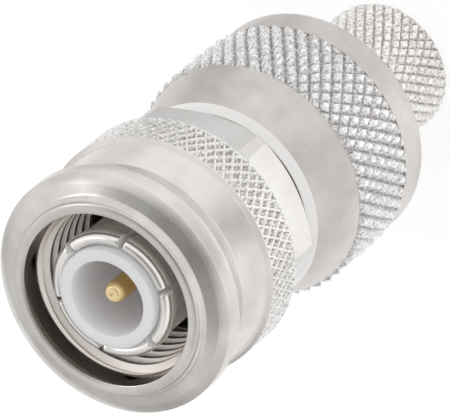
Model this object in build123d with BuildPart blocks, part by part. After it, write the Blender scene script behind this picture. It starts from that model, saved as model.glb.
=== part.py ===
# Threaded coaxial plug for a large crimped cable, 7/16-28 coupling thread.
# The axis is +Z: the part stands on the end of its crimp stem and the mating
# face looks up. The origin is the middle of the stem's end face. Millimetres.

from build123d import *

import os

# Stack of outside lengths, from the stem's end up to the lip of the nut
stem_exposed = 9.15
shell_length = 11.95
shell_gap = 0.4
collar_length = 3.35
nut_gap = 0.15
nut_length = 9.13

# Coupling nut, outside
nut_lip_inner_d = 11.1
nut_lip_outer_d = 12.4
nut_lip_height = 1.03
nut_dish_d = 13.2
nut_dish_depth = 0.63
nut_dish_hollow_out = 0.05
nut_dish_hollow_up = 0.11
nut_face_crown = 0.06
nut_rim_d = 15.6
nut_rim_length = 1.1
nut_neck_front_d = 14.1
nut_back_cone_length = 1.65
nut_neck_rear_d = 14.9
nut_neck_length = 2.45
nut_knurl_d = 15.44
nut_rear_bevel = 0.2

# Coupling nut, inside
thread_minor_d = 10.24
thread_lead_depth = 1.48
thread_length = 5.6
nut_relief_clearance = 0.1
nut_web = 0.5

# Retaining ring of the nut, and the axial play that it leaves
ring_thickness = 0.5
ring_catch = 1.1
ring_groove_clearance = 0.2
ring_split = 1.2
nut_float = 0.2
running_clearance = 0.05

# Front body with its wrench collar
body_land = 0.25
ring_groove_wall = 0.65
ring_groove_depth = 0.5
collar_corner_d = 14.64
collar_across_flats = 13.0
collar_turn = -19.3
collar_rear_chamfer = 0.9
collar_front_chamfer = 0.35
shank_d = 10.4
shank_length = 5.9
contact_bore_length = 3.0

# Seal round the shank, inside the shell
seal_section = 0.72
seal_groove_width = 0.85
seal_setback = 1.2
seal_groove_wall = 0.48

# Rear shell
shell_front_d = 12.5
shell_chamfer_d = 13.2
shell_chamfer_length = 0.6
shell_cone_d = 15.0
shell_cone_length = 3.45
shell_knurl_d = 15.5
shell_knurl_root_d = 14.94
shell_knurl_length = 5.7
shell_knurl_teeth = 54
shell_knurl_half_rows = 8
shell_core_wall = 1.5
shell_band_d = 15.1
shell_rear_chamfer = 0.2
shell_rear_wall = 2.75

# Crimp stem
stem_knurl_d = 8.6
stem_seat_d = 9.2
stem_bore_d = 7.5
stem_bore_length = 12.5
stem_chamfer = 0.15

# Spring contact with its fingers
contact_wall_d = 7.7
contact_bead_rise = 0.2
contact_bead_length = 0.95
contact_tip_setback = 0.53
finger_count = 6
finger_slot = 0.42
finger_length = 5.4
finger_turn = 1.4

# Insulators, bushing and centre pin
front_insulator_d = 6.42
front_insulator_bore_d = 4.86
front_insulator_setback = 0.16
front_insulator_cup = 5.5
insulator_edge = 0.08
rear_insulator_length = 2.5
bushing_length = 0.9
bushing_bore_d = 5.2
pin_d = 1.35
pin_tip_setback = 0.81
pin_tip_taper = 0.32
pin_tip_d = 0.95
pin_shoulder_d = 2.2
barrel_d = 3.9
barrel_length = 6.6
wire_bore_d = 2.84
wire_bore_depth = 5.4
sight_hole_d = 0.8

# Front gasket
gasket_thickness = 0.55

# Radial clearance of pieces that are pressed or screwed into each other
seat_clearance = 0.01

# Diameters that follow from the spring contact, which the body's neck holds
contact_bead_d = contact_wall_d + 2 * contact_bead_rise
ring_groove_d = contact_wall_d + 2 * ring_groove_wall
body_neck_d = ring_groove_d + 2 * ring_groove_depth
ring_inner_d = ring_groove_d + ring_groove_clearance
ring_outer_d = body_neck_d + ring_catch
nut_relief_d = ring_outer_d + nut_relief_clearance

# The bore round the pin's barrel leaves a wall under the seal's groove
barrel_bore_d = shank_d - 2 * (seal_section + seal_groove_wall)

# Levels along the axis, from the stem's end upwards
shell_rear_z = stem_exposed
shell_front_z = shell_rear_z + shell_length
collar_rear_z = shell_front_z + shell_gap
collar_front_z = collar_rear_z + collar_length
nut_rear_z = collar_front_z + nut_gap
lip_z = nut_rear_z + nut_length
flange_z = lip_z - nut_lip_height
shank_rear_z = collar_rear_z - shank_length
web_front_z = nut_rear_z + nut_web
ring_z = web_front_z + running_clearance
groove_rear_z = web_front_z
groove_top_z = ring_z + ring_thickness + nut_float + running_clearance
body_front_z = groove_top_z + body_land
thread_rear_z = lip_z - thread_lead_depth - thread_length
contact_seat_z = body_front_z - contact_bore_length
bead_rear_z = contact_seat_z - rear_insulator_length
bushing_rear_z = bead_rear_z - bushing_length

os.makedirs("parts", exist_ok=True)


# Crimp stem: a shouldered tube. The cable's braid is crimped round its knurled
# tail, its plain seat fits the hole in the shell's rear wall, and its shoulder is
# held between that wall and the shank.
stem_shoulder_z = shell_rear_z + shell_rear_wall
with BuildPart() as crimp_stem:
    with BuildSketch(Plane.XZ):
        with BuildLine():
            Polyline(
                (stem_bore_d / 2, 0),
                (stem_knurl_d / 2 - stem_chamfer, 0),
                (stem_knurl_d / 2, stem_chamfer),
                (stem_knurl_d / 2, shell_rear_z),
                (stem_seat_d / 2, shell_rear_z),
                (stem_seat_d / 2, stem_shoulder_z),
                (shank_d / 2, stem_shoulder_z),
                (shank_d / 2, shank_rear_z),
                (barrel_bore_d / 2, shank_rear_z),
                (barrel_bore_d / 2, stem_bore_length),
                (stem_bore_d / 2, stem_bore_length),
                close=True,
            )
        make_face()
    revolve(axis=Axis.Z)
crimp_stem.part.label = "crimp_stem"
export_step(crimp_stem.part, "parts/crimp_stem.step")


# Rear shell: a turned sleeve with a narrow front chamfer, a long cone, a wide
# knurled grip and a plain rear band. It is screwed over the shank. The knurl's
# pyramids stand on a lattice whose points lie at the root and at the crest by
# turns, and each cell is folded along the groove between its two root points.
shell_bore_r = shank_d / 2 + seat_clearance
shell_cone_rear_z = shell_front_z - shell_chamfer_length - shell_cone_length
shell_knurl_rear_z = shell_cone_rear_z - shell_knurl_length
knurl_columns = 2 * shell_knurl_teeth
knurl_half_row = shell_knurl_length / shell_knurl_half_rows


def knurl_point(column, row):
    is_crest = (column + row) % 2 == 1
    radius = (shell_knurl_d if is_crest else shell_knurl_root_d) / 2
    height = shell_knurl_rear_z + row * knurl_half_row
    return Vector(radius, 0, height).rotate(Axis.Z, 360 * (column % knurl_columns) / knurl_columns)


def flat_face(*corners):
    return Face(Wire.make_polygon(corners))


knurl_faces = [
    flat_face(*[knurl_point(column, row) for column in range(knurl_columns)])
    for row in (0, shell_knurl_half_rows)
]
for row in range(shell_knurl_half_rows):
    for column in range(knurl_columns):
        near = knurl_point(column, row)
        beside = knurl_point(column + 1, row)
        above = knurl_point(column, row + 1)
        across = knurl_point(column + 1, row + 1)
        if (column + row) % 2 == 0:
            knurl_faces += [flat_face(near, beside, across), flat_face(near, across, above)]
        else:
            knurl_faces += [flat_face(near, beside, above), flat_face(beside, across, above)]
knurl_band = Solid(Shell(knurl_faces))

with BuildPart() as rear_shell:
    add(knurl_band)
    with BuildSketch(Plane.XY.offset(shell_knurl_rear_z)):
        Circle(shell_bore_r)
    extrude(amount=shell_knurl_length, mode=Mode.SUBTRACT)
    with BuildSketch(Plane.XZ):
        with BuildLine():
            Polyline(
                (shell_bore_r, stem_shoulder_z),
                (shell_bore_r, shell_front_z),
                (shell_front_d / 2, shell_front_z),
                (shell_chamfer_d / 2, shell_front_z - shell_chamfer_length),
                (shell_cone_d / 2, shell_cone_rear_z),
                (shell_bore_r + shell_core_wall, shell_cone_rear_z),
                (shell_bore_r + shell_core_wall, shell_knurl_rear_z),
                (shell_band_d / 2, shell_knurl_rear_z),
                (shell_band_d / 2, shell_rear_z + shell_rear_chamfer),
                (shell_band_d / 2 - shell_rear_chamfer, shell_rear_z),
                (stem_seat_d / 2 + seat_clearance, shell_rear_z),
                (stem_seat_d / 2 + seat_clearance, stem_shoulder_z),
                close=True,
            )
        make_face()
    revolve(axis=Axis.Z)
rear_shell.part.label = "rear_shell"
export_step(rear_shell.part, "parts/rear_shell.step")


# Front body: one turned piece with the nut's neck and ring groove, the wrench
# collar with its six flats, and the shank that carries the shell.
seal_groove_top_z = shell_front_z - seal_setback
seal_groove_rear_z = seal_groove_top_z - seal_groove_width
seal_groove_r = shank_d / 2 - seal_section
contact_bore_r = contact_wall_d / 2 + seat_clearance
bead_bore_r = front_insulator_d / 2 + seat_clearance
with BuildPart() as front_body:
    with BuildSketch(Plane.XZ):
        with BuildLine():
            Polyline(
                (barrel_bore_d / 2, shank_rear_z),
                (shank_d / 2, shank_rear_z),
                (shank_d / 2, seal_groove_rear_z),
                (seal_groove_r, seal_groove_rear_z),
                (seal_groove_r, seal_groove_top_z),
                (shank_d / 2, seal_groove_top_z),
                (shank_d / 2, collar_rear_z),
                (collar_corner_d / 2 - collar_rear_chamfer, collar_rear_z),
                (collar_corner_d / 2, collar_rear_z + collar_rear_chamfer),
                (collar_corner_d / 2, collar_front_z - collar_front_chamfer),
                (collar_corner_d / 2 - collar_front_chamfer, collar_front_z),
                (body_neck_d / 2, collar_front_z),
                (body_neck_d / 2, groove_rear_z),
                (ring_groove_d / 2, groove_rear_z),
                (ring_groove_d / 2, groove_top_z),
                (body_neck_d / 2, groove_top_z),
                (body_neck_d / 2, body_front_z),
                (contact_bore_r, body_front_z),
                (contact_bore_r, contact_seat_z),
                (bead_bore_r, contact_seat_z),
                (bead_bore_r, bushing_rear_z),
                (barrel_bore_d / 2, bushing_rear_z),
                close=True,
            )
        make_face()
    revolve(axis=Axis.Z)
    with BuildSketch(Plane.XY.offset(collar_rear_z)):
        Circle(shell_band_d)
        RegularPolygon(
            collar_across_flats / 2,
            6,
            major_radius=False,
            rotation=collar_turn,
            mode=Mode.SUBTRACT,
        )
    extrude(amount=collar_length, mode=Mode.SUBTRACT)
front_body.part.label = "front_body"
export_step(front_body.part, "parts/front_body.step")


# Shell seal: a square rubber ring in the groove of the shank.
with BuildPart() as shell_seal:
    with BuildSketch(Plane.XY.offset(seal_groove_rear_z + seat_clearance)):
        Circle(shank_d / 2)
        Circle(seal_groove_r + seat_clearance, mode=Mode.SUBTRACT)
    extrude(amount=seal_groove_width - 2 * seat_clearance)
shell_seal.part.label = "shell_seal"
export_step(shell_seal.part, "parts/shell_seal.step")


# Outer contact: a sleeve with a rounded bead at its tip, slotted into spring
# fingers that bear on the inside of the mating jack's barrel.
contact_tip_z = lip_z - contact_tip_setback
bead_r = contact_bead_d / 2
contact_inner_r = front_insulator_d / 2 + seat_clearance
tip_land_r = (bead_r + contact_inner_r) / 2
with BuildPart() as outer_contact:
    with BuildSketch(Plane.XZ):
        with BuildLine():
            Polyline(
                (contact_wall_d / 2, contact_tip_z - contact_bead_length),
                (contact_wall_d / 2, contact_seat_z),
                (contact_inner_r, contact_seat_z),
                (contact_inner_r, contact_tip_z - (tip_land_r - contact_inner_r)),
            )
            RadiusArc(
                (contact_inner_r, contact_tip_z - (tip_land_r - contact_inner_r)),
                (tip_land_r, contact_tip_z),
                tip_land_r - contact_inner_r,
            )
            RadiusArc(
                (tip_land_r, contact_tip_z),
                (bead_r, contact_tip_z - (bead_r - tip_land_r)),
                bead_r - tip_land_r,
            )
            Line(
                (bead_r, contact_tip_z - (bead_r - tip_land_r)),
                (contact_wall_d / 2, contact_tip_z - contact_bead_length),
            )
        make_face()
    revolve(axis=Axis.Z)
    with Locations((0, 0, contact_tip_z - finger_length / 2)):
        with PolarLocations(contact_wall_d / 2, finger_count, start_angle=finger_turn):
            Box(
                contact_wall_d / 2,
                finger_slot,
                finger_length,
                mode=Mode.SUBTRACT,
            )
outer_contact.part.label = "outer_contact"
export_step(outer_contact.part, "parts/outer_contact.step")


# Front insulator: a cup turned from PTFE that keeps the pin in the middle.
insulator_top_z = lip_z - front_insulator_setback
cup_floor_z = insulator_top_z - front_insulator_cup
pin_clear_r = pin_d / 2 + seat_clearance
with BuildPart() as front_insulator:
    with BuildSketch(Plane.XZ):
        with BuildLine():
            Polyline(
                (pin_clear_r, contact_seat_z),
                (front_insulator_d / 2, contact_seat_z),
                (front_insulator_d / 2, insulator_top_z - insulator_edge),
                (front_insulator_d / 2 - insulator_edge, insulator_top_z),
                (front_insulator_bore_d / 2 + insulator_edge, insulator_top_z),
                (front_insulator_bore_d / 2, insulator_top_z - insulator_edge),
                (front_insulator_bore_d / 2, cup_floor_z),
                (pin_clear_r, cup_floor_z),
                close=True,
            )
        make_face()
    revolve(axis=Axis.Z)
front_insulator.part.label = "front_insulator"
export_step(front_insulator.part, "parts/front_insulator.step")


# Rear insulator: a PTFE bead behind the pin's shoulder.
with BuildPart() as rear_insulator:
    with BuildSketch(Plane.XY.offset(bead_rear_z)):
        Circle(front_insulator_d / 2)
        Circle(pin_shoulder_d / 2 + seat_clearance, mode=Mode.SUBTRACT)
    extrude(amount=rear_insulator_length)
rear_insulator.part.label = "rear_insulator"
export_step(rear_insulator.part, "parts/rear_insulator.step")


# Bushing: a brass ring pressed in behind the bead to hold it.
with BuildPart() as insulator_bushing:
    with BuildSketch(Plane.XY.offset(bushing_rear_z)):
        Circle(front_insulator_d / 2)
        Circle(bushing_bore_d / 2, mode=Mode.SUBTRACT)
    extrude(amount=bushing_length)
insulator_bushing.part.label = "insulator_bushing"
export_step(insulator_bushing.part, "parts/insulator_bushing.step")


# Centre pin: the thin mating pin with a tapered tip, its shoulder, and the
# barrel in which the cable's conductor is soldered, with a sight hole.
pin_tip_z = lip_z - pin_tip_setback
barrel_rear_z = bead_rear_z - barrel_length
with BuildPart() as centre_pin:
    with BuildSketch(Plane.XZ):
        with BuildLine():
            Polyline(
                (0, barrel_rear_z + wire_bore_depth),
                (wire_bore_d / 2, barrel_rear_z + wire_bore_depth),
                (wire_bore_d / 2, barrel_rear_z),
                (barrel_d / 2, barrel_rear_z),
                (barrel_d / 2, bead_rear_z),
                (pin_shoulder_d / 2, bead_rear_z),
                (pin_shoulder_d / 2, contact_seat_z),
                (pin_d / 2, contact_seat_z),
                (pin_d / 2, pin_tip_z - pin_tip_taper),
                (pin_tip_d / 2, pin_tip_z),
                (0, pin_tip_z),
                close=True,
            )
        make_face()
    revolve(axis=Axis.Z)
    with Locations((barrel_d / 2, 0, barrel_rear_z + wire_bore_depth - sight_hole_d)):
        Cylinder(sight_hole_d / 2, barrel_d, rotation=(0, 90, 0), mode=Mode.SUBTRACT)
centre_pin.part.label = "centre_pin"
export_step(centre_pin.part, "parts/centre_pin.step")


# Front gasket: a flat rubber ring at the bottom of the nut, on which the
# mating jack's rim presses.
with BuildPart() as front_gasket:
    with BuildSketch(Plane.XY.offset(body_front_z)):
        Circle(body_neck_d / 2)
        Circle(contact_wall_d / 2 + running_clearance, mode=Mode.SUBTRACT)
    extrude(amount=gasket_thickness)
front_gasket.part.label = "front_gasket"
export_step(front_gasket.part, "parts/front_gasket.step")


# Snap ring: a split ring in the body's groove. The nut's rear web pulls on it.
with BuildPart() as snap_ring:
    with BuildSketch(Plane.XY.offset(ring_z)):
        Circle(ring_outer_d / 2)
        Circle(ring_inner_d / 2, mode=Mode.SUBTRACT)
        with Locations((0, ring_outer_d / 2)):
            Rectangle(ring_split, ring_outer_d / 2, mode=Mode.SUBTRACT)
    extrude(amount=ring_thickness)
snap_ring.part.label = "snap_ring"
export_step(snap_ring.part, "parts/snap_ring.step")


# Coupling nut: lip, hollow step, crowned flange face, narrow rim, back cone,
# tapered neck and knurled grip. Inside are the lead bevel, the thread's bore,
# the relief that holds the snap ring, and the rear web.
neck_front_z = flange_z - nut_rim_length - nut_back_cone_length
neck_rear_z = neck_front_z - nut_neck_length
dish_z = lip_z - nut_dish_depth
crown_z = (dish_z + flange_z) / 2 + nut_face_crown
thread_bevel = (nut_lip_inner_d - thread_minor_d) / 2
with BuildPart() as coupling_nut:
    with BuildSketch(Plane.XZ):
        with BuildLine():
            dish_start = (nut_lip_outer_d / 2, lip_z)
            dish_end = (nut_dish_d / 2, dish_z)
            hollow = (nut_lip_outer_d / 2 + nut_dish_hollow_out, dish_z + nut_dish_hollow_up)
            ThreePointArc(dish_start, hollow, dish_end)
            Polyline(
                dish_end,
                ((nut_dish_d + nut_rim_d) / 4, crown_z),
                (nut_rim_d / 2, flange_z),
                (nut_rim_d / 2, flange_z - nut_rim_length),
                (nut_neck_front_d / 2, neck_front_z),
                (nut_neck_rear_d / 2, neck_rear_z),
                (nut_knurl_d / 2, neck_rear_z),
                (nut_knurl_d / 2, nut_rear_z + nut_rear_bevel),
                (nut_knurl_d / 2 - nut_rear_bevel, nut_rear_z),
                (body_neck_d / 2 + running_clearance, nut_rear_z),
                (body_neck_d / 2 + running_clearance, web_front_z),
                (nut_relief_d / 2, web_front_z),
                (nut_relief_d / 2, thread_rear_z),
                (thread_minor_d / 2, thread_rear_z),
                (thread_minor_d / 2, lip_z - thread_lead_depth - thread_bevel),
                (nut_lip_inner_d / 2, lip_z - thread_lead_depth),
                (nut_lip_inner_d / 2, lip_z),
                dish_start,
            )
        make_face()
    revolve(axis=Axis.Z)
coupling_nut.part.label = "coupling_nut"
export_step(coupling_nut.part, "parts/coupling_nut.step")
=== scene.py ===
import math

import bmesh
import bpy
from mathutils import Matrix, Vector


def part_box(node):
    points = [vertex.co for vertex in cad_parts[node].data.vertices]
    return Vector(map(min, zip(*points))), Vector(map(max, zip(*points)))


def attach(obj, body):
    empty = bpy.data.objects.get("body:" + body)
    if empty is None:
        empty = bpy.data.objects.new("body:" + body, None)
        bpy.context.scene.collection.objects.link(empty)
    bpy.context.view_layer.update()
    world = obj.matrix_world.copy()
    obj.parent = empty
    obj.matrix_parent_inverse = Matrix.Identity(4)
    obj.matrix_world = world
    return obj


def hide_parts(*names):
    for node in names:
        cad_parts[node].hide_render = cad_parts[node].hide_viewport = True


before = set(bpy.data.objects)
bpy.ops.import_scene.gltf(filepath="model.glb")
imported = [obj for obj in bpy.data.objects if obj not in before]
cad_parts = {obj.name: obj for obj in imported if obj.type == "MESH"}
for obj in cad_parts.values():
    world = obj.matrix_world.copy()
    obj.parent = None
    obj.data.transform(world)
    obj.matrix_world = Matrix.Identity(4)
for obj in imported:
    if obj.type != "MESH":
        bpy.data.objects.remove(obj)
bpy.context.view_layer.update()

mm = 0.001

# Camera. A long lens half a metre away, looking down on the mating face from one
# side and rolled, so that the face comes to the lower left and the stem to the
# upper right.
camera_place = Vector((-0.296, -309.74, 384.25)) * mm
camera_right = Vector((-0.641656, -0.583996, -0.497218))
camera_up = Vector((0.766992, -0.488564, -0.415966))
camera_data = bpy.data.cameras.new("long_lens")
camera_data.sensor_width = 36
camera_data.lens = 640
camera_data.clip_start = 0.05
camera = bpy.data.objects.new("camera", camera_data)
bpy.context.scene.collection.objects.link(camera)
camera_axes = Matrix((camera_right, camera_up, camera_right.cross(camera_up))).transposed()
camera.matrix_world = Matrix.Translation(camera_place) @ camera_axes.to_4x4()
bpy.context.scene.camera = camera
bpy.context.scene.view_settings.view_transform = "Standard"


# Stage. White studio paper under the connector, with a pale and two dark cards that
# only the metal mirrors. The white surround is darker overhead and low at the back,
# and a small lamp stands on the side that the collar's lit flat faces.
def linear(hex_colour):
    """The linear RGBA value of an sRGB hex colour."""
    values = [int(hex_colour[start:start + 2], 16) / 255 for start in (1, 3, 5)]
    decoded = [v / 12.92 if v <= 0.04045 else ((v + 0.055) / 1.055) ** 2.4 for v in values]
    return (*decoded, 1.0)


def add_node(tree, kind, inputs=(), **settings):
    """Adds a node with its settings, and sets each given input or links it to an output."""
    made = tree.nodes.new(kind)
    for name, value in settings.items():
        setattr(made, name, value)
    for socket, given in dict(inputs).items():
        if isinstance(given, bpy.types.NodeSocket):
            tree.links.new(given, made.inputs[socket])
        else:
            made.inputs[socket].default_value = given
    return made


def maths(tree, operation, *numbers):
    """The result of a sum on numbers or other nodes' outputs."""
    made = add_node(tree, "ShaderNodeMath", enumerate(numbers), operation=operation)
    return made.outputs[0]


def ramp(tree, value, low, high, start=0.0, end=1.0, shape="LINEAR"):
    """Maps a value that runs from low to high to one that runs from start to end."""
    inputs = {"Value": value, "From Min": low, "From Max": high, "To Min": start, "To Max": end}
    return add_node(tree, "ShaderNodeMapRange", inputs, interpolation_type=shape).outputs[0]


def blank_material(name):
    """A material whose node tree is still empty."""
    material = bpy.data.materials.new(name)
    material.use_nodes = True
    material.node_tree.nodes.clear()
    return material


floor_side = 3.0
floor_gap = 0.02 * mm
bpy.ops.object.select_all(action="DESELECT")
bpy.ops.mesh.primitive_plane_add(size=floor_side, location=(0, 0, -floor_gap))
floor = bpy.context.object
floor.name = "paper_floor"

# The paper looks evenly white and keeps the connector's shadow. Each card has the
# middle, the radius where it starts to fade, the radius where it ends, and what it
# adds to the glow that the metal mirrors.
paper_glow = 0.72
pale_card = ((-14 * mm, -21 * mm, 0), 8 * mm, 20 * mm, 0.27)
dark_card = ((29 * mm, 0, 0), 0, 23 * mm, -0.4)
far_dark_card = ((-14 * mm, -58 * mm, 0), 0, 36 * mm, -0.34)
paper = blank_material("white_studio_paper")
tree = paper.node_tree
ground = add_node(tree, "ShaderNodeTexCoord").outputs["Object"]
mirrored_glow = paper_glow
for middle, fade_start, fade_end, change in (pale_card, dark_card, far_dark_card):
    away = add_node(
        tree, "ShaderNodeVectorMath", {0: ground, 1: middle}, operation="DISTANCE"
    ).outputs["Value"]
    card = ramp(tree, away, fade_start, fade_end, change, 0.0, "SMOOTHSTEP")
    mirrored_glow = maths(tree, "ADD", card, mirrored_glow)
rays = add_node(tree, "ShaderNodeLightPath").outputs
strength = add_node(
    tree, "ShaderNodeMix", {0: rays["Is Camera Ray"], 2: mirrored_glow, 3: paper_glow}
).outputs[0]
glow = add_node(tree, "ShaderNodeEmission", {"Color": linear("#FFFFFF"), "Strength": strength})
matte = add_node(tree, "ShaderNodeBsdfDiffuse", {"Color": linear("#A8A8A8")})
white = add_node(tree, "ShaderNodeAddShader", {0: matte.outputs[0], 1: glow.outputs[0]})
seen = maths(tree, "MAXIMUM", rays["Is Camera Ray"], rays["Is Glossy Ray"])
sheet = add_node(
    tree, "ShaderNodeMixShader", {0: seen, 1: matte.outputs[0], 2: white.outputs[0]}
)
add_node(tree, "ShaderNodeOutputMaterial", {"Surface": sheet.outputs[0]})
floor.data.materials.append(paper)

# Each darker part of the surround has the way to its middle, the cosines where it
# starts and where it is full, and the levels of light before it and in it.
low_back = ((-0.35, 0.8, -0.5), -0.1, 0.8, 0.94, 0.53)
overhead = ((-0.05, 0.08, 0.994), 0.8, 0.99, 1.0, 0.28)
world = bpy.data.worlds.new("white_surround")
bpy.context.scene.world = world
world.use_nodes = True
tree = world.node_tree
tree.nodes.clear()
outward = add_node(tree, "ShaderNodeTexCoord").outputs["Generated"]
light_level = 1.0
for way, start, full, level_before, level_within in (low_back, overhead):
    nearness = add_node(
        tree, "ShaderNodeVectorMath", {0: outward, 1: way}, operation="DOT_PRODUCT"
    ).outputs["Value"]
    level = ramp(tree, nearness, start, full, level_before, level_within, "SMOOTHSTEP")
    light_level = maths(tree, "MULTIPLY", level, light_level)
surround = add_node(
    tree, "ShaderNodeBackground", {"Color": linear("#FFFFFF"), "Strength": light_level}
)
add_node(tree, "ShaderNodeOutputWorld", {"Surface": surround.outputs[0]})

lamp_side = 0.09
lamp_distance = 0.6
lamp_watts = 0.12
lamp_way = Vector((0.46, 0.37, 0.81)).normalized()
lamp_data = bpy.data.lights.new("softbox", "AREA")
lamp_data.size = lamp_side
lamp_data.energy = lamp_watts
lamp = bpy.data.objects.new("softbox", lamp_data)
bpy.context.scene.collection.objects.link(lamp)
lamp.location = lamp_way * lamp_distance
lamp.rotation_euler = lamp_way.to_track_quat("Z", "Y").to_euler()


# Crimp stem. A shouldered brass tube with a fine diamond knurl on its tail, where
# the cable's braid is crimped. It is turned, knurled and plated, and the shell's
# rear wall holds its shoulder.
merge_distance = 0.0005 * mm


def turned(name, outline, segments):
    """Turns a closed outline of (radius, height) points, loop by loop, into one piece."""
    bpy.ops.object.select_all(action="DESELECT")
    radius, height = outline[0]
    bpy.ops.mesh.primitive_circle_add(vertices=segments, radius=radius, location=(0, 0, height))
    piece = bpy.context.object
    piece.name = name
    bpy.ops.object.transform_apply(location=True)
    bpy.ops.object.mode_set(mode="EDIT")
    bpy.ops.mesh.select_all(action="SELECT")
    for next_radius, next_height in outline[1:] + outline[:1]:
        bpy.ops.mesh.extrude_edges_move(
            TRANSFORM_OT_translate={"value": (0, 0, next_height - height)}
        )
        growth = next_radius / radius
        bpy.ops.transform.resize(
            value=(growth, growth, 1), center_override=(0, 0, next_height)
        )
        radius, height = next_radius, next_height
    weld()
    return piece


def weld():
    """Merges the points that meet and turns the faces outwards, then leaves edit mode."""
    bpy.ops.mesh.select_all(action="SELECT")
    bpy.ops.mesh.remove_doubles(threshold=merge_distance)
    bpy.ops.mesh.normals_make_consistent(inside=False)
    bpy.ops.object.mode_set(mode="OBJECT")


def pick(piece, edges=None, faces=None):
    """Opens the piece for editing with only the edges or faces selected that pass a test."""
    bpy.ops.object.select_all(action="DESELECT")
    piece.select_set(True)
    bpy.context.view_layer.objects.active = piece
    bpy.ops.object.mode_set(mode="EDIT")
    bpy.ops.mesh.select_mode(type="EDGE" if edges else "FACE")
    bpy.ops.mesh.select_all(action="DESELECT")
    mesh = bmesh.from_edit_mesh(piece.data)
    for part in mesh.edges if edges else mesh.faces:
        part.select = bool((edges or faces)(part))
    mesh.select_flush_mode()
    bmesh.update_edit_mesh(piece.data)


def reach(point):
    """How far a point is from the axis."""
    return math.hypot(point.x, point.y)


def knurl(piece, low, high, radius, rows, segments, land, flank, rise, wander):
    """Rolls a diamond knurl into a plain band that has a loop of points at each half row.
    Each diamond gets a flat land if asked, then flanks that rise or sink, a little torn."""
    row = (high - low) / rows
    turn = 2 * math.pi / segments
    row_slack = 0.1 * row
    radius_slack = 0.02 * mm

    def in_band(point):
        level = low - row_slack < point.z < high + row_slack
        return level and abs(reach(point) - radius) < radius_slack

    def at_crest(point):
        column = round(math.atan2(point.y, point.x) / turn)
        return in_band(point) and (column + round((point.z - low) / row)) % 2 == 1

    def on_rim(edge):
        return all(min(abs(v.co.z - low), abs(v.co.z - high)) < row_slack for v in edge.verts)

    def side_of_half_diamond(edge):
        points = [v.co for v in edge.verts]
        return all(map(in_band, points)) and any(map(at_crest, points)) and not on_rim(edge)

    def band_face(face):
        return all(in_band(v.co) for v in face.verts)

    pick(piece, faces=band_face)
    bpy.ops.mesh.quads_convert_to_tris(quad_method="FIXED")
    bpy.ops.object.mode_set(mode="OBJECT")
    pick(piece, edges=lambda edge: all(at_crest(v.co) for v in edge.verts))
    bpy.ops.mesh.edge_rotate(use_ccw=False)
    bpy.ops.object.mode_set(mode="OBJECT")
    pick(piece, edges=side_of_half_diamond)
    bpy.ops.mesh.dissolve_edges(use_verts=False)
    bpy.ops.object.mode_set(mode="OBJECT")
    pick(piece, faces=band_face)
    if land:
        bpy.ops.mesh.inset(thickness=land, use_individual=True)
    bpy.ops.mesh.inset(thickness=flank, depth=rise, use_individual=True)
    bpy.ops.transform.vertex_random(offset=wander, uniform=1.0, seed=rows)
    bpy.ops.object.mode_set(mode="OBJECT")


def even_steps(start, end, count):
    """Heights from start to end in equal steps, without the first."""
    return [start + (end - start) * step / count for step in range(1, count + 1)]


def noise(tree, place, size, detail, roughness=0.5):
    """Random values in patches of about this size."""
    inputs = {"Vector": place, "Scale": 1 / size, "Detail": detail, "Roughness": roughness}
    return add_node(tree, "ShaderNodeTexNoise", inputs).outputs["Fac"]


def mixed(tree, share, first, second):
    """Mixes two colours, each a hex colour or a node's output."""
    first, second = (linear(c) if isinstance(c, str) else c for c in (first, second))
    inputs = {0: share, 6: first, 7: second}
    return add_node(tree, "ShaderNodeMix", inputs, data_type="RGBA").outputs[2]


def uneven(tree, height, strength):
    """The normals of a surface with a fine relief."""
    relief_depth = 0.02 * mm
    inputs = {"Height": height, "Strength": strength, "Distance": relief_depth}
    return add_node(tree, "ShaderNodeBump", inputs).outputs[0]


def surface(tree, inputs):
    """Gives the material its one shader."""
    shader = add_node(tree, "ShaderNodeBsdfPrincipled", inputs)
    add_node(tree, "ShaderNodeOutputMaterial", {"Surface": shader.outputs[0]})


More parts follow.
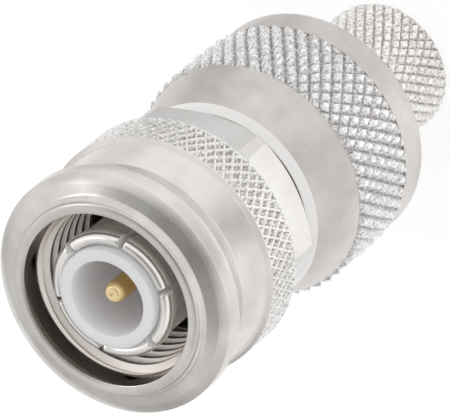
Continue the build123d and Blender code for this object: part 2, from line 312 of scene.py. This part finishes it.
def white_bronze(name, light, shade, roughness, knurled=None, ring=None, bore=None):
    """Satin white bronze plate over turned brass. Its fine turning lines run round the axis
    and spread the light across them, and handling leaves soft darker stains. A knurl gets
    painted shade in its valleys and a painted highlight on its crests, with specks where the
    metal is torn. A ring can get a painted highlight, and a bore gets painted shade before
    its thread and painted light on the thread."""
    line_feed = 0.12 * mm
    line_range = (0.3, 0.7)
    line_sheen = (roughness + 0.06, roughness - 0.05)
    stain_size = 4.2 * mm
    stain_range = (0.36, 0.64)
    grit_size = 0.15 * mm
    grit_in_relief = 0.35
    torn_contrast = 2.3
    valley_level = -1.0
    crest_level = -0.35
    material = blank_material(name)
    tree = material.node_tree
    place = add_node(tree, "ShaderNodeTexCoord").outputs["Object"]
    height = add_node(tree, "ShaderNodeSeparateXYZ", {0: place}).outputs["Z"]
    across = add_node(
        tree, "ShaderNodeVectorMath", {0: place, 1: (1, 1, 0)}, operation="MULTIPLY"
    ).outputs[0]
    radius = add_node(
        tree, "ShaderNodeVectorMath", {0: across}, operation="LENGTH"
    ).outputs["Value"]
    section = add_node(tree, "ShaderNodeCombineXYZ", {"X": radius, "Z": height}).outputs[0]
    lines = noise(tree, section, line_feed, detail=2.0)
    stains = noise(tree, place, stain_size, detail=4.0, roughness=0.55)
    grit = noise(tree, place, grit_size, detail=1.0)
    colour = mixed(tree, ramp(tree, stains, *stain_range), shade, light)
    sheen = ramp(tree, lines, *line_range, *line_sheen)

    def between(low, high):
        return maths(tree, "COMPARE", height, (low + high) / 2, (high - low) / 2)

    if knurled:
        # The knurl's valleys get painted shade and its crests a painted highlight, set by the
        # distance from the axis, with random torn specks added on top.
        depth = ramp(
            tree, radius, knurled["valley"], knurled["crest"], valley_level, crest_level
        )
        torn_specks_and_painted_light = maths(tree, "MULTIPLY_ADD", grit, torn_contrast, depth)
        diamonds = mixed(tree, torn_specks_and_painted_light, knurled["dark"], knurled["painted_highlight"])
        colour = mixed(tree, between(knurled["low"], knurled["high"]), colour, diamonds)
    if ring:
        # The ring's lighter colour is a painted highlight.
        colour = mixed(tree, between(ring["low"], ring["high"]), colour, ring["painted_highlight"])
    if bore:
        # The smooth bore wall is painted dark as painted shade, and the tapped thread is painted
        # pale as painted light.
        inside = maths(tree, "LESS_THAN", radius, bore["radius"])
        below = maths(tree, "LESS_THAN", height, bore["thread_high"])
        tapped = maths(tree, "MULTIPLY", inside, below)
        for where, finish, tint in (
            (inside, bore["roughness"], bore["dark"]),
            (tapped, bore["thread_roughness"], bore["thread_painted_light"]),
        ):
            sheen = add_node(tree, "ShaderNodeMix", {0: where, 2: sheen, 3: finish}).outputs[0]
            colour = mixed(tree, where, colour, tint)
    relief = maths(tree, "MULTIPLY_ADD", grit, grit_in_relief, lines)
    round_axis = add_node(tree, "ShaderNodeTangent", direction_type="RADIAL", axis="Z")
    surface(tree, {
        "Base Color": colour,
        "Roughness": sheen,
        "Normal": uneven(tree, relief, strength=0.08),
        "Tangent": round_axis.outputs[0],
        "Metallic": 1.0,
        "Anisotropic": 0.35,
        "Anisotropic Rotation": 0.25,
    })
    return material


stem_low, stem_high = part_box("crimp_stem")
shell_low, shell_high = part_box("rear_shell")
stem_root = 4.15 * mm
stem_crest = 4.3 * mm
stem_bore = 3.75 * mm
stem_barrel = 4.0 * mm
stem_barrel_low = 12.5 * mm
stem_seat = 4.6 * mm
stem_shoulder = 5.2 * mm
stem_shoulder_low = shell_low.z + 2.75 * mm
stem_chamfer = 0.1 * mm
stem_knurl_low = stem_low.z + stem_chamfer
stem_knurl_rows = 15
stem_segments = 80
stem_crease = 30
stem_outline = [
    (stem_bore, stem_low.z),
    (stem_root - stem_chamfer, stem_low.z),
    (stem_root, stem_knurl_low),
] + [(stem_root, height) for height in even_steps(stem_knurl_low, shell_low.z, stem_knurl_rows)] + [
    (stem_seat, shell_low.z),
    (stem_seat, stem_shoulder_low),
    (stem_shoulder, stem_shoulder_low),
    (stem_shoulder, stem_high.z),
    (stem_barrel, stem_high.z),
    (stem_barrel, stem_barrel_low),
    (stem_bore, stem_barrel_low),
]
stem = turned("knurled_crimp_stem", stem_outline, stem_segments)
knurl(
    stem, stem_knurl_low, shell_low.z, stem_root, stem_knurl_rows, stem_segments,
    land=0, flank=0.15 * mm, rise=stem_crest - stem_root, wander=0.04 * mm,
)
bpy.ops.object.shade_smooth_by_angle(angle=math.radians(stem_crease))
# The knurl's darker valleys are painted shade and its near-white crests are painted highlights.
stem.data.materials.append(white_bronze(
    "stem_white_bronze", light="#EAE7E4", shade="#DAD4D0", roughness=0.3,
    knurled={
        "low": stem_knurl_low, "high": shell_low.z, "valley": stem_root, "crest": stem_crest,
        "dark": "#B6AFAA", "painted_highlight": "#FFFFFD",
    },
))
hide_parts("crimp_stem")
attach(stem, "connector_body")


# Rear shell. A heavy turned brass sleeve with a narrow front chamfer, a long cone,
# a coarse diamond knurl to hold it by and a plain rear band. It is screwed over
# the shank of the front body.
near = 0.01 * mm


def soften(piece, width, chosen, crease=30):
    """Rounds the sharp edges that pass a test, then shades the piece by its creases."""
    sharp_from = 20
    pick(piece, edges=lambda edge: (
        len(edge.link_faces) == 2
        and math.degrees(edge.calc_face_angle()) > sharp_from
        and chosen(edge)
    ))
    bpy.ops.mesh.bevel(offset=width, segments=2, profile=0.5)
    bpy.ops.mesh.select_all(action="SELECT")
    bpy.ops.mesh.normals_make_consistent(inside=False)
    bpy.ops.object.mode_set(mode="OBJECT")
    bpy.ops.object.shade_smooth_by_angle(angle=math.radians(crease))
    flatten = piece.modifiers.new("flat_lands", "WEIGHTED_NORMAL")
    flatten.keep_sharp = True
    bpy.ops.object.modifier_apply(modifier=flatten.name)


def keep_corner(piece, heights):
    """Keeps the shallow corners at these heights crisp when the piece is shaded smooth."""
    pick(piece, edges=lambda edge: any(
        all(abs(v.co.z - height) < near for v in edge.verts) for height in heights
    ))
    bpy.ops.mesh.mark_sharp()
    bpy.ops.object.mode_set(mode="OBJECT")


shell_bore = 5.21 * mm
shell_front = 6.25 * mm
shell_chamfer = 6.6 * mm
shell_chamfer_low = shell_high.z - 0.6 * mm
shell_root = 7.47 * mm
shell_crest = 7.75 * mm
shell_cone = 7.5 * mm
shell_knurl_high = shell_high.z - 4.05 * mm
shell_knurl_low = shell_knurl_high - 5.7 * mm
shell_band = 7.55 * mm
shell_rear_round = 0.2 * mm
shell_seat = 4.61 * mm
shell_edge = 0.06 * mm
shell_knurl_rows = 8
shell_segments = 108
shell_outline = [
    (shell_root, shell_knurl_low),
] + [
    (shell_root, height)
    for height in even_steps(shell_knurl_low, shell_knurl_high, shell_knurl_rows)
] + [
    (shell_cone, shell_knurl_high),
    (shell_chamfer, shell_chamfer_low),
    (shell_front, shell_high.z),
    (shell_bore, shell_high.z),
    (shell_bore, stem_shoulder_low),
    (shell_seat, stem_shoulder_low),
    (shell_seat, shell_low.z),
    (shell_band - shell_rear_round, shell_low.z),
    (shell_band, shell_low.z + shell_rear_round),
    (shell_band, shell_knurl_low),
]
shell = turned("knurled_rear_shell", shell_outline, shell_segments)
knurl(
    shell, shell_knurl_low, shell_knurl_high, shell_root, shell_knurl_rows, shell_segments,
    land=0, flank=0.24 * mm, rise=shell_crest - shell_root, wander=0.035 * mm,
)
keep_corner(shell, [shell_chamfer_low])
soften(shell, shell_edge, lambda edge: all(
    not shell_knurl_low - near < v.co.z < shell_knurl_high + near for v in edge.verts
), crease=40)
# The knurl's darker valleys are painted shade and its white crests painted highlights, and the
# front chamfer ring is painted lighter as a painted highlight.
shell.data.materials.append(white_bronze(
    "shell_white_bronze", light="#DAD6D3", shade="#C4BFBB", roughness=0.3,
    knurled={
        "low": shell_knurl_low, "high": shell_knurl_high, "valley": shell_root,
        "crest": shell_crest, "dark": "#B2AFAD", "painted_highlight": "#FFFFFF",
    },
    ring={"low": shell_chamfer_low, "high": shell_high.z, "painted_highlight": "#ECEAE8"},
))
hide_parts("rear_shell")
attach(shell, "connector_body")


# Front body. One turned brass piece with a wrench collar, six milled flats with
# turned corners, and the shank and neck that the other pieces sit on.
def cut_with(piece, cutter, operation, materials="INDEX"):
    """Cuts the piece with a cutter by an applied Boolean, and removes the cutter."""
    sliver = 0.002 * mm
    change = piece.modifiers.new("cut", "BOOLEAN")
    change.operation = operation
    change.object = cutter
    change.solver = "EXACT"
    change.material_mode = materials
    bpy.ops.object.select_all(action="DESELECT")
    piece.select_set(True)
    bpy.context.view_layer.objects.active = piece
    bpy.ops.object.modifier_apply(modifier=change.name)
    bpy.data.objects.remove(cutter)
    bpy.ops.object.mode_set(mode="EDIT")
    bpy.ops.mesh.select_all(action="SELECT")
    bpy.ops.mesh.dissolve_degenerate(threshold=sliver)
    weld()


body_low, body_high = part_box("front_body")
collar_low = shell_high.z + 0.4 * mm
collar_high = collar_low + 3.35 * mm
collar_corner = 7.32 * mm
collar_rear_chamfer = 0.9 * mm
collar_front_chamfer = 0.35 * mm
collar_across_flats = 13 * mm
collar_turn = math.radians(-19.3)
collar_edge = 0.05 * mm
collar_rounded_from = 6 * mm
hexagon_length = 40 * mm
hexagon_corner = math.radians(30)
shank = 5.2 * mm
neck = 5.0 * mm
ring_groove = 4.5 * mm
ring_groove_low = collar_high + 0.65 * mm
ring_groove_high = body_high.z - 0.25 * mm
contact_bore = 3.86 * mm
contact_seat = body_high.z - 3.0 * mm
bead_bore = 3.22 * mm
bushing_low = contact_seat - 3.4 * mm
seal_groove_high = shell_high.z - 1.2 * mm
seal_groove_low = seal_groove_high - 0.85 * mm
seal_groove = shank - 0.72 * mm
body_segments = 144
body_outline = [
    (stem_barrel, body_low.z),
    (shank, body_low.z),
    (shank, seal_groove_low),
    (seal_groove, seal_groove_low),
    (seal_groove, seal_groove_high),
    (shank, seal_groove_high),
    (shank, collar_low),
    (collar_corner - collar_rear_chamfer, collar_low),
    (collar_corner, collar_low + collar_rear_chamfer),
    (collar_corner, collar_high - collar_front_chamfer),
    (collar_corner - collar_front_chamfer, collar_high),
    (neck, collar_high),
    (neck, ring_groove_low),
    (ring_groove, ring_groove_low),
    (ring_groove, ring_groove_high),
    (neck, ring_groove_high),
    (neck, body_high.z),
    (contact_bore, body_high.z),
    (contact_bore, contact_seat),
    (bead_bore, contact_seat),
    (bead_bore, bushing_low),
    (stem_barrel, bushing_low),
]
body = turned("wrench_collar_body", body_outline, body_segments)
bpy.ops.object.select_all(action="DESELECT")
bpy.ops.mesh.primitive_cylinder_add(
    vertices=6, radius=collar_across_flats / math.sqrt(3), depth=hexagon_length,
    location=(0, 0, collar_low), rotation=(0, 0, collar_turn + hexagon_corner),
)
cut_with(body, bpy.context.object, "INTERSECT")
soften(body, collar_edge, lambda edge: all(
    collar_low - near < v.co.z < collar_high + near and reach(v.co) > collar_rounded_from
    for v in edge.verts
))
body.data.materials.append(white_bronze(
    "collar_white_bronze", light="#E5E3E1", shade="#D6D3D0", roughness=0.25,
))
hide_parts("front_body")
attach(body, "connector_body")


# Outer contact. A thin sleeve of spring bronze with a rounded bead at its tip,
# sawn into six fingers that press inside the jack's barrel.
contact_low, contact_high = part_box("outer_contact")
contact_wall = 3.85 * mm
contact_bead = 4.05 * mm
contact_inner = 3.22 * mm
contact_bead_low = contact_high.z - 0.95 * mm
contact_bead_slope = 0.12 * mm
contact_tip = (contact_bead + contact_inner) / 2
tip_round = contact_bead - contact_tip
tip_steps = 12
contact_segments = 96
contact_edge = 0.04 * mm
contact_rounded_from = contact_low.z + 0.5 * mm
finger_count = 6
finger_slot = 0.42 * mm
finger_length = 5.4 * mm
finger_turn = math.radians(1.4)
tip_turns = [math.pi * step / tip_steps for step in range(tip_steps + 1)]
contact_outline = [
    (contact_inner, contact_low.z),
    (contact_wall, contact_low.z),
    (contact_wall, contact_bead_low),
    (contact_bead, contact_bead_low + contact_bead_slope),
] + [
    (
        contact_tip + tip_round * math.cos(turn),
        contact_high.z - tip_round + tip_round * math.sin(turn),
    )
    for turn in tip_turns
]
contact = turned("slotted_outer_contact", contact_outline, contact_segments)
contact.data.materials.append(white_bronze(
    "contact_white_bronze", light="#FDFAF7", shade="#ECE8E4", roughness=0.24,
))

# The sawn sides of the slots are rough, and their whiter colour is painted light, so that they look
# plain white from every side.
sawn = white_bronze("sawn_white_bronze", light="#FFFFFF", shade="#F4F2F0", roughness=0.85)
for finger in range(finger_count):
    turn = finger_turn + finger * 2 * math.pi / finger_count
    bpy.ops.object.select_all(action="DESELECT")
    bpy.ops.mesh.primitive_cube_add(
        size=1,
        location=(contact_wall * math.cos(turn), contact_wall * math.sin(turn), contact_high.z),
        rotation=(0, 0, turn),
        scale=(contact_wall, finger_slot, 2 * finger_length),
    )
    bpy.context.object.data.materials.append(sawn)
    cut_with(contact, bpy.context.object, "DIFFERENCE", materials="TRANSFER")
soften(contact, contact_edge, lambda edge: any(
    v.co.z > contact_rounded_from for v in edge.verts
))
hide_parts("outer_contact")
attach(contact, "connector_body")


# Front insulator. A PTFE cup, turned from white bar, that keeps the pin in the
# middle of the outer contact.
cup_low, cup_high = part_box("front_insulator")
cup_outer = 3.21 * mm
cup_inner = 2.43 * mm
cup_floor = cup_high.z - 5.5 * mm
cup_edge = 0.08 * mm
cup_rounded_from = cup_low.z + 1 * mm
cup_segments = 96
pin_hole = 0.685 * mm
cup_outline = [
    (pin_hole, cup_low.z),
    (cup_outer, cup_low.z),
    (cup_outer, cup_high.z),
    (cup_inner, cup_high.z),
    (cup_inner, cup_floor),
    (pin_hole, cup_floor),
]
cup = turned("ptfe_cup", cup_outline, cup_segments)
soften(cup, cup_edge, lambda edge: all(v.co.z > cup_rounded_from for v in edge.verts))

# PTFE looks waxy, lets a little light in and is slightly blue.
ptfe = blank_material("turned_ptfe")
tree = ptfe.node_tree
place = add_node(tree, "ShaderNodeTexCoord").outputs["Object"]
cloud = noise(tree, place, size=1.5 * mm, detail=2.0)
surface(tree, {
    "Base Color": mixed(tree, cloud, "#F2F5FE", "#F6F8FF"),
    "Normal": uneven(tree, cloud, strength=0.1),
    "Roughness": 0.42,
    "IOR": 1.36,
    "Subsurface Weight": 0.8,
    "Subsurface Scale": 1.4 * mm,
    "Subsurface Radius": (1.0, 1.0, 1.0),
})
cup.data.materials.append(ptfe)
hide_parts("front_insulator")
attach(cup, "connector_body")


# Centre pin. Brass, turned with a tapered tip, gold plated, with a barrel at the
# back in which the cable's conductor is soldered.
pin_low, pin_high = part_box("centre_pin")
pin_radius = 0.675 * mm
pin_tip = 0.475 * mm
pin_tip_taper = 0.32 * mm
pin_shoulder = 1.1 * mm
pin_barrel = 1.95 * mm
pin_edge = 0.04 * mm
pin_rounded_from = pin_high.z - 1 * mm
# From here to the tip the gold is painted paler as a painted highlight.
pin_highlight_from = pin_high.z - 1.5 * pin_tip_taper
pin_segments = 48
wire_bore = 1.42 * mm
wire_bore_high = pin_low.z + 5.4 * mm
bead_low = contact_seat - 2.5 * mm
axis_point = 0.02 * mm
pin_outline = [
    (axis_point, wire_bore_high),
    (wire_bore, wire_bore_high),
    (wire_bore, pin_low.z),
    (pin_barrel, pin_low.z),
    (pin_barrel, bead_low),
    (pin_shoulder, bead_low),
    (pin_shoulder, contact_seat),
    (pin_radius, contact_seat),
    (pin_radius, pin_high.z - pin_tip_taper),
    (pin_tip, pin_high.z),
    (axis_point, pin_high.z),
]
pin = turned("gold_centre_pin", pin_outline, pin_segments)
soften(pin, pin_edge, lambda edge: all(v.co.z > pin_rounded_from for v in edge.verts))

# Gold plate is a warm yellow mirror, a little cloudy, and painted paler towards the tip as a
# painted highlight.
gold = blank_material("gold_plate")
tree = gold.node_tree
place = add_node(tree, "ShaderNodeTexCoord").outputs["Object"]
height = add_node(tree, "ShaderNodeSeparateXYZ", {0: place}).outputs["Z"]
cloud = noise(tree, place, size=0.5 * mm, detail=2.0)
tip_highlight = ramp(tree, height, pin_highlight_from, pin_high.z)
surface(tree, {
    "Base Color": mixed(tree, tip_highlight, mixed(tree, cloud, "#EDBE6C", "#F4D290"), "#F8E0AC"),
    "Normal": uneven(tree, cloud, strength=0.15),
    "Metallic": 1.0,
    "Roughness": 0.25,
})
pin.data.materials.append(gold)
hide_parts("centre_pin")
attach(pin, "connector_body")


# Front gasket. A flat ring of black silicone rubber on the body's front face, at
# the bottom of the nut, on which the jack's rim seals.
gasket_low, gasket_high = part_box("front_gasket")
gasket_inner = 3.9 * mm
gasket_edge = 0.1 * mm
gasket_rounded_from = gasket_high.z - 0.1 * mm
gasket_segments = 96
gasket_outline = [
    (gasket_inner, gasket_low.z),
    (gasket_high.x, gasket_low.z),
    (gasket_high.x, gasket_high.z),
    (gasket_inner, gasket_high.z),
]
gasket = turned("black_front_gasket", gasket_outline, gasket_segments)
soften(gasket, gasket_edge, lambda edge: all(
    v.co.z > gasket_rounded_from for v in edge.verts
))

# Silicone rubber is nearly black and matt, with a fine moulded grain.
rubber = blank_material("black_silicone_rubber")
tree = rubber.node_tree
place = add_node(tree, "ShaderNodeTexCoord").outputs["Object"]
speck = noise(tree, place, size=0.1 * mm, detail=2.0)
surface(tree, {
    "Base Color": mixed(tree, speck, "#0C0B0B", "#191716"),
    "Normal": uneven(tree, speck, strength=0.3),
    "Roughness": 0.6,
    "IOR": 1.42,
})
gasket.data.materials.append(rubber)
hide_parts("front_gasket")
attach(gasket, "connector_body")


# Coupling nut. Turned brass with a thin lip, a hollow step, a crowned flange face,
# a narrow rim, a back cone, a tapered neck and a fine knurl of sunk diamonds. The
# thread inside is tapped. It is held by the snap ring and turns freely.
nut_low, nut_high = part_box("coupling_nut")
lip = nut_high.z
lip_inner = 5.55 * mm
lip_outer = 6.2 * mm
flange = lip - 1.03 * mm
hollow_end = 6.6 * mm
hollow_low = lip - 0.63 * mm
hollow_steps = 6
rim = 7.8 * mm
rim_low = flange - 1.1 * mm
face_crown = 0.06 * mm
face_crown_level = (flange + hollow_low) / 2 + face_crown
neck_front = 7.05 * mm
neck_high = rim_low - 1.65 * mm
neck_rear = 7.45 * mm
neck_low = neck_high - 2.45 * mm
neck_rear_level = neck_low + 0.2 * mm
nut_crest = 7.72 * mm
nut_bevel = 0.2 * mm
nut_cell_depth = 0.15 * mm
nut_knurl_low = nut_low.z + nut_bevel
nut_knurl_rows = 5
nut_front_edge = 0.07 * mm
nut_rear_edge = 0.05 * mm
nut_segments = 144
thread_minor = 5.12 * mm
thread_major = 5.54 * mm
threads_per_inch = 28
thread_pitch = 25.4 * mm / threads_per_inch
thread_flank = math.radians(30)
lead_bevel_high = lip - 1.48 * mm
thread_low = lead_bevel_high - 5.6 * mm
relief = 5.6 * mm
nut_rounded_from = relief + 0.1 * mm
web_high = nut_low.z + 0.5 * mm
web_bore = 5.05 * mm
hollow_turns = [math.pi / 2 * step / hollow_steps for step in range(hollow_steps + 1)]
hollow_points = [
    (
        hollow_end - (hollow_end - lip_outer) * math.cos(turn),
        lip - (lip - hollow_low) * math.sin(turn),
    )
    for turn in hollow_turns
]
nut_outline = [
    (nut_crest, nut_knurl_low),
] + [
    (nut_crest, height) for height in even_steps(nut_knurl_low, neck_low, nut_knurl_rows)
] + [
    (neck_rear, neck_rear_level),
    (neck_front, neck_high),
    (rim, rim_low),
    (rim, flange),
    ((rim + hollow_end) / 2, face_crown_level),
] + hollow_points[::-1] + [
    (lip_inner, lip),
    (lip_inner, lead_bevel_high),
    (thread_minor, lead_bevel_high - (lip_inner - thread_minor)),
    (thread_minor, thread_low),
    (relief, thread_low),
    (relief, web_high),
    (web_bore, web_high),
    (web_bore, nut_low.z),
    (nut_crest - nut_bevel, nut_low.z),
]
nut = turned("knurled_coupling_nut", nut_outline, nut_segments)

# The tap is a helical ridge of the thread's section, longer than the bore at both
# ends, and it leaves sixty degree flanks with flat crests.
tap_steps = 72
tap_turns = 8
tap_inner = thread_minor - 0.12 * mm
tap_low = thread_low - 0.4 * mm
tip_half = 0.08 * mm
base_half = tip_half + (thread_major - tap_inner) * math.tan(thread_flank)
tap_corners = [
    (tap_inner, 0, tap_low - base_half),
    (thread_major, 0, tap_low - tip_half),
    (tap_inner, 0, tap_low + base_half),
    (thread_major, 0, tap_low + tip_half),
]
bpy.ops.object.select_all(action="DESELECT")
bpy.ops.mesh.primitive_plane_add(size=1, location=(0, 0, 0))
tap = bpy.context.object
tap.name = "tap"
for point, corner in zip(tap.data.vertices, tap_corners):
    point.co = corner
thread_screw = tap.modifiers.new("thread", "SCREW")
thread_screw.angle = 2 * math.pi
thread_screw.screw_offset = thread_pitch
thread_screw.iterations = tap_turns
thread_screw.steps = tap_steps
thread_screw.render_steps = tap_steps
bpy.ops.object.modifier_apply(modifier=thread_screw.name)
bpy.ops.object.mode_set(mode="EDIT")
bpy.ops.mesh.select_all(action="SELECT")
bpy.ops.mesh.remove_doubles(threshold=merge_distance)
bpy.ops.mesh.fill_holes(sides=4)
weld()
cut_with(nut, tap, "DIFFERENCE")


def front_edge(edge):
    """An edge of the lip, the hollow step, the flange face or the rim."""
    in_front = all(
        v.co.z > rim_low - near and reach(v.co) > lip_inner - near for v in edge.verts
    )
    in_thread = all(
        v.co.z < lead_bevel_high + near and reach(v.co) < relief for v in edge.verts
    )
    return in_front and not in_thread


def rear_edge(edge):
    """An edge of the neck or the rear bevel, clear of the knurl."""
    return all(
        v.co.z < rim_low - near
        and reach(v.co) > nut_rounded_from
        and not nut_knurl_low - near < v.co.z < neck_low + near
        for v in edge.verts
    )


knurl(
    nut, nut_knurl_low, neck_low, nut_crest, nut_knurl_rows, nut_segments,
    land=0.045 * mm, flank=0.14 * mm, rise=-nut_cell_depth, wander=0.03 * mm,
)
keep_corner(nut, [rim_low, neck_high, face_crown_level])
soften(nut, nut_front_edge, front_edge)
soften(nut, nut_rear_edge, rear_edge)
# The knurl's sunk cells are painted shade and its crests painted highlights, the bore wall is
# painted dark as painted shade, and the tapped thread is painted pale as painted light.
nut.data.materials.append(white_bronze(
    "nut_white_bronze", light="#E5E2DF", shade="#CFCAC5", roughness=0.24,
    knurled={
        "low": nut_knurl_low, "high": neck_low, "valley": nut_crest - nut_cell_depth,
        "crest": nut_crest, "dark": "#B6B3B1", "painted_highlight": "#F6F4F2",
    },
    bore={
        "radius": lip_inner + 0.02 * mm, "roughness": 0.12, "dark": "#A39C96",
        "thread_high": lead_bevel_high - 0.03 * mm, "thread_roughness": 0.45,
        "thread_painted_light": "#FFF8F2",
    },
))
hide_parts("coupling_nut")
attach(nut, "nut")


# Hidden pieces. The bead and its bushing behind the pin's shoulder show only from
# the cable end; the snap ring and the shell's seal are seen on opening.
hidden = {
    "rear_insulator": ptfe,
    "insulator_bushing": white_bronze("bushing_white_bronze", "#D9D6D2", "#CBC7C3", 0.3),
    "snap_ring": white_bronze("ring_white_bronze", "#D6D2CD", "#C4BEB7", 0.32),
    "shell_seal": rubber,
}
for name, material in hidden.items():
    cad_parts[name].data.materials.clear()
    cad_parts[name].data.materials.append(material)
